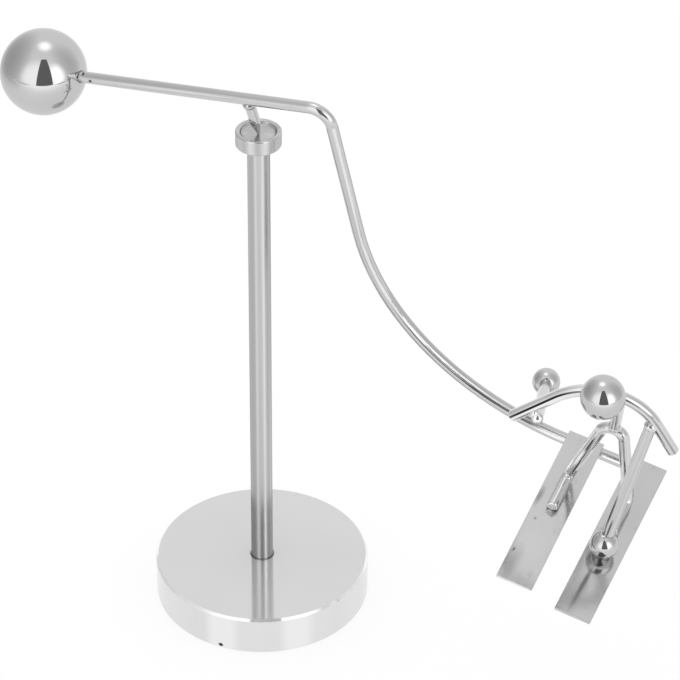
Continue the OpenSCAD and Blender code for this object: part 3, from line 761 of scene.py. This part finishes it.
def whiteRays(kit):
    # 1 for camera, glossy and transmission rays
    path = kit["nodes"].new("ShaderNodeLightPath")
    seen = path.outputs["Is Camera Ray"]
    for ray in ("Is Glossy Ray", "Is Transmission Ray"):
        either = kit["nodes"].new("ShaderNodeMath")
        either.operation = "MAXIMUM"
        kit["links"].new(seen, either.inputs[0])
        kit["links"].new(path.outputs[ray], either.inputs[1])
        seen = either.outputs[0]
    return seen


def mixShaders(kit, factor, first, second):
    mix = kit["nodes"].new("ShaderNodeMixShader")
    kit["links"].new(factor, mix.inputs["Fac"])
    kit["links"].new(first, mix.inputs[1])
    kit["links"].new(second, mix.inputs[2])
    return mix.outputs[0]


def glowPaint(name, strength):
    # a paint of plain light, not yet joined to its output
    paint = bpy.data.materials.new(name)
    paint.use_nodes = True
    kit = treeKit(paint.node_tree)
    kit["nodes"].remove(kit["nodes"]["Principled BSDF"])
    glow = kit["nodes"].new("ShaderNodeEmission")
    glow.inputs["Strength"].default_value = strength
    return paint, kit, glow.outputs[0]


def studioSheet(name, bm, paint):
    mesh = bpy.data.meshes.new(name)
    bm.to_mesh(mesh)
    bm.free()
    mesh.materials.append(paint)
    sheet = bpy.data.objects.new(name, mesh)
    scene.collection.objects.link(sheet)
    return sheet


def studioSpot(angle, height, away):
    # a place round the object, by angle from the camera's side, and the turn that faces it
    a, e = radians(angle + cameraPlace["turn"][2]), radians(height)
    back = Vector((sin(a) * cos(e), -cos(a) * cos(e), sin(e)))
    return Vector(studio["middle"]) + back * away, back.to_track_quat("Z", "Y").to_euler()


world = bpy.data.worlds.new("studioWorld")
scene.world = world
world.use_nodes = True
kit = treeKit(world.node_tree)
ambient = kit["nodes"]["Background"]
ambient.inputs["Color"].default_value = grey(1)
ambient.inputs["Strength"].default_value = studio["ambient"]
white = kit["nodes"].new("ShaderNodeBackground")
white.inputs["Color"].default_value = grey(1)
white.inputs["Strength"].default_value = studio["white"]
surface = mixShaders(kit, whiteRays(kit), ambient.outputs[0], white.outputs[0])
kit["links"].new(surface, kit["nodes"]["World Output"].inputs["Surface"])

floorPaint, kit, glow = glowPaint("floorPaint", studio["white"])
paper = kit["nodes"].new("ShaderNodeBsdfDiffuse")
paper.inputs["Color"].default_value = grey(studio["floorTone"])
share = kit["nodes"].new("ShaderNodeMath")
share.operation = "MULTIPLY"
share.inputs[1].default_value = 1 - studio["shadowShare"]
kit["links"].new(whiteRays(kit), share.inputs[0])
surface = mixShaders(kit, share.outputs[0], paper.outputs[0], glow)
kit["links"].new(surface, kit["nodes"]["Material Output"].inputs["Surface"])
bm = bmesh.new()
bmesh.ops.create_grid(bm, x_segments=studio["floorCells"], y_segments=studio["floorCells"],
                      size=studio["floor"] / 2)
studioFloor = studioSheet("studioFloor", bm, floorPaint)

# soft lamp overhead
lamp = {"angle": 170, "height": 83, "away": 1.0, "size": 0.38, "glow": 2.2}
lampData = bpy.data.lights.new("topLamp", "AREA")
lampData.shape = "DISK"
lampData.size = lamp["size"]
lampData.energy = lamp["glow"] * pi * pi * lamp["size"] ** 2 / 4  # power of a disc that glows this brightly
topLamp = bpy.data.objects.new("topLamp", lampData)
topLamp.location, topLamp.rotation_euler = studioSpot(lamp["angle"], lamp["height"], lamp["away"])
topLamp.visible_camera = False
topLamp.visible_glossy = False
scene.collection.objects.link(topLamp)

# plain cards that only the plating mirrors; those with a solid share fade towards their edges
cards = {
    "leftWall": {"angle": -110, "height": 15, "away": 0.9, "size": (3.0, 3.2), "glow": 0.52, "solid": 0.0},
    "leftFloor": {"angle": -108, "lying": 0.75, "size": (1.8, 1.1), "glow": 0.58, "solid": 0.0},
    "rightWall": {"angle": 95, "height": 25, "away": 0.9, "size": (1.7, 2.8), "glow": 0.68, "solid": 0.0},
    "frontGlow": {"angle": -5, "height": 18, "away": 1.3, "size": (5.0, 3.2), "glow": 1.5, "solid": 0.25},
    "frontFloor": {"angle": 2, "lying": 0.95, "size": (3.8, 1.9), "glow": 1.45, "solid": 0.2},
    "rightGlow": {"angle": 42, "height": 18, "away": 1.25, "size": (1.4, 1.8), "glow": 1.9, "solid": 0.3},
    "lampGlow": {"angle": 180, "height": 77, "away": 1.0, "size": (0.7, 0.75), "glow": 1.9, "solid": 0.1},
    "leftStrip": {"angle": -55, "height": -3, "away": 0.85, "size": (0.7, 0.036), "glow": 0.45, "solid": 0.5},
    "rightStrip": {"angle": 48, "height": -3, "away": 0.85, "size": (0.6, 0.036), "glow": 0.1, "solid": 0.5},
    "frontDark": {"angle": 3.5, "height": 31, "away": 1.1, "size": (1.08, 1.55), "glow": 0.18, "taper": 0.27}}
for name, card in cards.items():
    paint, kit, surface = glowPaint(name + "Paint", card["glow"])
    if "solid" in card:
        coords = kit["nodes"].new("ShaderNodeTexCoord")
        fade = kit["nodes"].new("ShaderNodeTexGradient")
        fade.gradient_type = "SPHERICAL"
        kit["links"].new(coords.outputs["Object"], fade.inputs["Vector"])
        solid = levels(kit, fade.outputs["Fac"], (0.0, 1 - card["solid"]), smooth=True)
        clear = kit["nodes"].new("ShaderNodeBsdfTransparent")
        surface = mixShaders(kit, solid, clear.outputs[0], surface)
    kit["links"].new(surface, kit["nodes"]["Material Output"].inputs["Surface"])
    bm = bmesh.new()
    bmesh.ops.create_grid(bm, x_segments=1, y_segments=1, size=1)
    upper = [v for v in bm.verts if v.co.y > 0]
    bmesh.ops.scale(bm, vec=(card.get("taper", 1), 1, 1), verts=upper)
    panel = studioSheet(name, bm, paint)
    if "lying" in card:
        panel.location, panel.rotation_euler = studioSpot(card["angle"], 0, card["lying"])
        panel.location.z = studio["cardLift"]
        panel.rotation_euler.x = 0
    else:
        panel.location, panel.rotation_euler = studioSpot(card["angle"], card["height"], card["away"])
    panel.scale = (card["size"][0] / 2, card["size"][1] / 2, 1)
    panel.visible_camera = False
    panel.visible_diffuse = False
    panel.visible_shadow = False
print("studio set")
